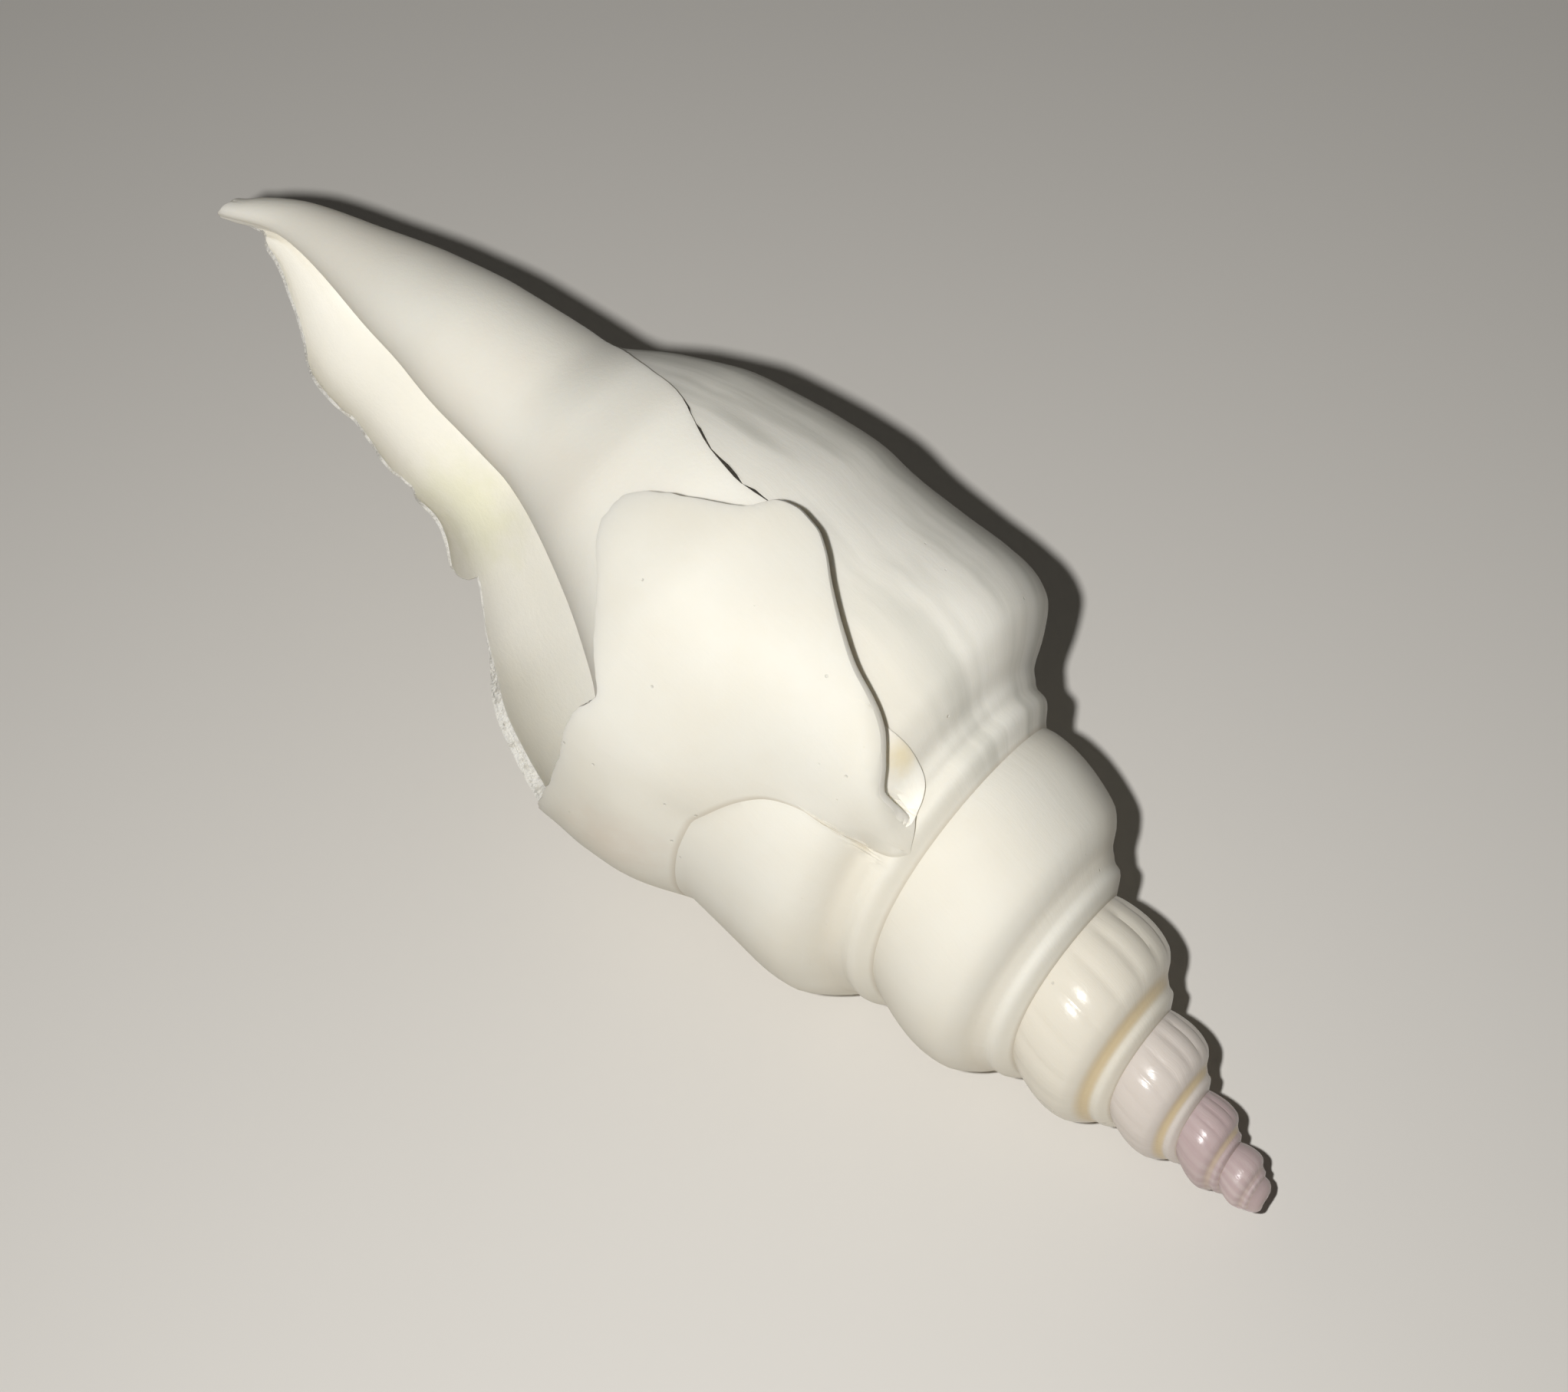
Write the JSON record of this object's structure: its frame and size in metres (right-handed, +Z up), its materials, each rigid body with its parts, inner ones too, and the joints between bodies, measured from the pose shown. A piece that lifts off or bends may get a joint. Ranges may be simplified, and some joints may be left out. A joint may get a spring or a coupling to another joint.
{
  "type": "conch shell",
  "caption": "Beach-worn spindle-shaped conch shell with a tall spire, its outer wall broken away over the aperture, lying on its back.",
  "frame": {"origin": "centre of the bounding box in X and Y, at the level of the surface the shell lies on", "axes": "+X along the shell's length towards the apex of the spire, +Y to the left of someone who looks that way, with the aperture up, +Z up"},
  "size_m": [0.0652, 0.023, 0.0252],
  "materials": {
    "shell": "satin"
  },
  "bodies": {
    "root": {"shell": "shell"}
  },
  "joints": []
}
